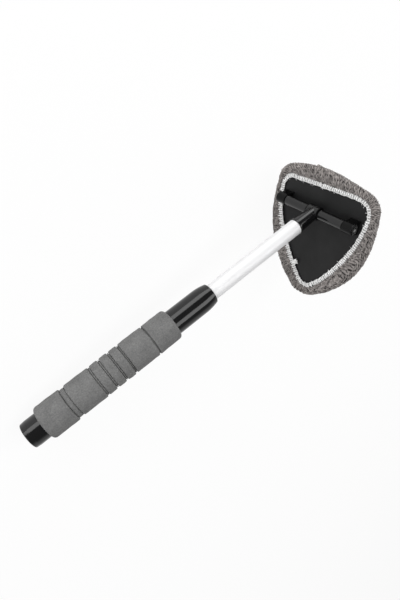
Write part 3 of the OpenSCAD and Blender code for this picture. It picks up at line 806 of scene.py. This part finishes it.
# Loose ends all round the hem, and a tuft of thicker ones with a knot by the apex
LOOSE_ENDS, LOOSE_LENGTH, LOOSE_R = 50, (0.8, 2.4), 0.2
TUFT_ENDS, TUFT_LENGTH, TUFT_R = 12, (4.0, 7.0), 0.62
TUFT_AT, TUFT_SPREAD = (66.5, -14.2), 1.3
LOOSE_STEPS = 7
LOOSE_BEND, LOOSE_DRIFT, LOOSE_HIGH = 1.2, 0.4, (0.5, 1.6)
LOOSE_IN, LOOSE_FROM, LOOSE_FALL, LOOSE_LOW = 0.5, 1.2, 0.7, 0.25
LOOSE_ARCH = 0.75  # share of a half wave
LOOSE_TIP = 0.6
KNOT_R, KNOT_HALF, KNOT_THREAD = 2.1, 1.1, 0.6
KNOT_IN, KNOT_UP = 0.9, 2.3
KNOT_STEPS, KNOT_WIND = 70, 37  # points, and radians wound
tuft_run = hem_run[int(np.argmin(np.linalg.norm(hem_line - np.array(TUFT_AT), axis=1)))]
loose = [(rng.uniform(0, HEM_LENGTH), rng.uniform(*LOOSE_LENGTH), LOOSE_R)
         for _ in range(LOOSE_ENDS)]
loose += [(tuft_run + rng.normal(0, TUFT_SPREAD), rng.uniform(*TUFT_LENGTH), TUFT_R)
          for _ in range(TUFT_ENDS)]
for at, length, thick in loose:
    bend, drift = either_way(LOOSE_BEND), either_way(LOOSE_DRIFT)
    high = rng.uniform(*LOOSE_HIGH) * (1 + thick)
    path = []
    for t in np.linspace(0, 1, LOOSE_STEPS):
        z = LOOSE_FROM + high * math.sin(math.pi * LOOSE_ARCH * t) - LOOSE_FALL * t
        path.append(hem_at(at + drift * length * t + bend * t * t,
                           -HEM_HALF + LOOSE_IN - length * t, max(z, LOOSE_LOW + thick)))
    tube(path, thick, THREAD_SIDES, hem_store, taper=np.linspace(1, LOOSE_TIP, LOOSE_STEPS))
knot = hem_at(tuft_run, -HEM_HALF - KNOT_IN, KNOT_UP)
turns = np.linspace(0, 1, KNOT_STEPS)
wound = KNOT_R * np.sin(math.pi * turns)
knot_path = np.stack([wound * np.cos(KNOT_WIND * turns), wound * np.sin(KNOT_WIND * turns),
                      KNOT_HALF * np.cos(math.pi * turns)], -1)
tube(knot + knot_path, KNOT_THREAD, THREAD_SIDES, hem_store)

band_points = head_point(np.array(band_mm))
band_faces = outward(band_points, hoop_faces(BAND_STATIONS, len(BAND_SECTION)))
# the band is grey, as painted shade between the stitches
band = add_mesh("hem_band", band_points, band_faces, GAP_SHADE_BAND, "head")
hem_points = head_point(np.array(hem_store[0]))
hem = add_mesh("hem_overlock", hem_points, hem_store[1], THREAD, "head")
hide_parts("hem")


# The elastic in the hem: a flat band with rounded edges
ELASTIC_STATIONS = 420
ELASTIC_SIDES = 12


def squared(c):
    """A sine or cosine drawn out towards a square."""
    return math.copysign(abs(c) ** 0.5, c)


e_mid = 0.5 * (ELASTIC_LOW + ELASTIC_HIGH)
e_half = 0.5 * (ELASTIC_HIGH - ELASTIC_LOW)
elastic_section = [(ELASTIC_HALF * squared(math.cos(a)), e_mid + e_half * squared(math.sin(a)))
                   for a in np.linspace(0, TURN, ELASTIC_SIDES, endpoint=False)]
elastic_points = head_point([hem_at(i * HEM_LENGTH / ELASTIC_STATIONS, o, z)
                             for i in range(ELASTIC_STATIONS) for o, z in elastic_section])
elastic_faces = outward(elastic_points, hoop_faces(ELASTIC_STATIONS, ELASTIC_SIDES))
elastic = add_mesh("hem_elastic", elastic_points, elastic_faces, RUBBER, "head")
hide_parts("elastic_cord")


# The pad under the cloth: a back a hair off the plate, a rounded edge and a slightly crowned front
PAD_EVERY = 4  # stations
PAD_GAP = 0.05
PAD_MID, PAD_HALF, PAD_ROUND = -4.55, 1.45, 1.1
PAD_CROWN = 0.12
PAD_EDGE_ROWS = 7
PAD_BACK_SHARES = (0.3, 0.7, 0.94)
PAD_FRONT_SHARES = (0.94, 0.8, 0.55, 0.3)
pad_line, pad_out = hem_line[::PAD_EVERY], hem_out[::PAD_EVERY]
pad_rows = [ring(pad_line, pad_out, PAD_EDGE, PLATE_FRONT - PAD_GAP, share)
            for share in PAD_BACK_SHARES]
for a in np.linspace(-0.5, 0.5, PAD_EDGE_ROWS) * math.pi:
    pad_rows.append(ring(pad_line, pad_out, PAD_EDGE - PAD_ROUND * (1 - math.cos(a)),
                         PAD_MID - PAD_HALF * math.sin(a)))
for share in PAD_FRONT_SHARES:
    pad_rows.append(ring(pad_line, pad_out, PAD_EDGE, PAD_FRONT + PAD_CROWN * share, share))
m = len(pad_line)
pad_points = head_point(np.concatenate(pad_rows))
pad_faces = [tuple(range(m))] + [tuple(f) for f in grid_faces(len(pad_rows), m)]
pad_faces.append(tuple(range((len(pad_rows) - 1) * m, len(pad_rows) * m))[::-1])
pad = add_mesh("sponge", pad_points, outward(pad_points, pad_faces), SPONGE, "head")
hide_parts("sponge_pad")


# The floor is white to the camera and in reflections, but for a share that stays lit for the shadow
FLOOR_HALF = 6.0
FLOOR_WHITE = 0.92


def floor_material():
    m = bpy.data.materials.new("floor")
    m.use_nodes = True
    tree = m.node_tree
    tree.nodes.clear()
    at = node(tree, "ShaderNodeTexCoord").outputs["Object"]
    pale = ramp(tree, noise(tree, at, 3.0), (0.86, 0.86, 0.86), (0.89, 0.89, 0.89))
    lit = node(tree, "ShaderNodeBsdfDiffuse", {"Color": pale}).outputs[0]
    white = node(tree, "ShaderNodeEmission", {"Color": (1, 1, 1, 1), "Strength": 1.0}).outputs[0]
    rays = node(tree, "ShaderNodeLightPath").outputs
    looks = math_node(tree, "MAXIMUM", rays["Is Camera Ray"], rays["Is Glossy Ray"])
    seen = math_node(tree, "MULTIPLY", looks, FLOOR_WHITE)
    mixed = node(tree, "ShaderNodeMixShader", {0: seen, 1: lit, 2: white}).outputs[0]
    node(tree, "ShaderNodeOutputMaterial", {"Surface": mixed})
    return m


corners = [(x * FLOOR_HALF, y * FLOOR_HALF, 0.0) for x, y in ((-1, -1), (1, -1), (1, 1), (-1, 1))]
floor_mesh = bpy.data.meshes.new("floor")
floor_mesh.from_pydata(corners, [], [(0, 1, 2, 3)])
floor_mesh.materials.append(floor_material())
floor = bpy.data.objects.new("floor", floor_mesh)
bpy.context.scene.collection.objects.link(floor)

# The world: a dim room with a paler wall low down towards -Y, white to the camera
ROOM_LEVEL = 0.2
WALL_LEVEL = 0.6
world = bpy.data.worlds.new("studio")
bpy.context.scene.world = world
world.use_nodes = True
tree = world.node_tree
tree.nodes.clear()
direction = node(tree, "ShaderNodeTexCoord").outputs["Generated"]
split = node(tree, "ShaderNodeSeparateXYZ", {0: direction}).outputs
low = ramp(tree, split["Z"], 1.0, 0.0, 0.5, 0.75)
behind = node(tree, "ShaderNodeMapRange", {0: split["Y"], 1: 0.1, 2: -0.5, 3: 0.0, 4: 1.0}).outputs[0]
wall = math_node(tree, "MULTIPLY", low, behind)
level = math_node(tree, "MULTIPLY_ADD", wall, WALL_LEVEL, ROOM_LEVEL)
to_camera = node(tree, "ShaderNodeLightPath").outputs["Is Camera Ray"]
seen = math_node(tree, "MAXIMUM", level, to_camera)
sky = node(tree, "ShaderNodeBackground", {"Color": (1, 1, 1, 1), "Strength": seen}).outputs[0]
node(tree, "ShaderNodeOutputWorld", {"Surface": sky})

LAMP_AIM_H = 0.05


def softbox(name, toward, distance, size, long_size, level, shift):
    """A soft lamp seen from the wand in a direction, its long side along X and moved along it."""
    lamp = bpy.data.lights.new(name, "AREA")
    lamp.shape = "RECTANGLE"
    lamp.size = long_size
    lamp.size_y = size
    lamp.energy = level * math.pi * size * long_size
    obj = bpy.data.objects.new(name, lamp)
    z = Vector(toward).normalized()
    y = z.cross(Vector((1, 0, 0))).normalized()
    turn = Matrix((y.cross(z), y, z)).transposed().to_4x4()
    turn.translation = Vector((shift, 0, LAMP_AIM_H)) + distance * z
    obj.matrix_world = turn
    bpy.context.scene.collection.objects.link(obj)


softbox("overhead", toward=(0, 0.03, 0.985), distance=0.95,
        size=0.52, long_size=1.3, level=2.9, shift=0.4)
softbox("side", toward=(0, 0.97, 0.25), distance=0.95,
        size=0.52, long_size=1.7, level=2.9, shift=0.15)
softbox("front", toward=(-0.9, 0.38, 0.22), distance=1.3,
        size=0.8, long_size=0.8, level=3.0, shift=0.0)
softbox("back", toward=(0.75, -0.5, 0.45), distance=1.3,
        size=0.9, long_size=0.9, level=1.1, shift=0.1)

# The camera stands where the photograph was taken from. The point AIM metres along the wand lies at
# pixel MID, DEPTH metres away. The directions of pole and hinge are as seen: right, down and away.
IMAGE = (400, 600)
FOCUS = 424.55
MID = (200.8, 301.0)
DEPTH = 0.39544
AIM = 0.1856
SENSOR = 36.0
CLIP_START = 0.01
pole_seen = np.array((0.7600, -0.5949, 0.2618))
hinge_seen = np.array((0.5996, 0.4864, -0.6355))
pole_seen /= np.linalg.norm(pole_seen)
hinge_seen -= pole_seen * np.dot(hinge_seen, pole_seen)
hinge_seen /= np.linalg.norm(hinge_seen)
third_seen = np.cross(pole_seen, hinge_seen)
to_row = np.stack([wand_x, hinge_y, wand_z], 1) @ np.stack([pole_seen, hinge_seen, third_seen])
right, down, forward = to_row.T
ray = np.array(((MID[0] - IMAGE[0] / 2) / FOCUS, (MID[1] - IMAGE[1] / 2) / FOCUS, 1.0))
camera_data = bpy.data.cameras.new("camera")
camera_data.sensor_width = SENSOR
camera_data.lens = FOCUS * SENSOR / max(IMAGE)
camera_data.clip_start = CLIP_START
camera = bpy.data.objects.new("camera", camera_data)
turn = Matrix((Vector(right), Vector(-down), Vector(-forward))).transposed().to_4x4()
turn.translation = Vector(start + AIM * wand_x - DEPTH * (to_row @ ray))
camera.matrix_world = turn
bpy.context.scene.collection.objects.link(camera)
bpy.context.scene.camera = camera
bpy.context.scene.view_settings.view_transform = "Standard"
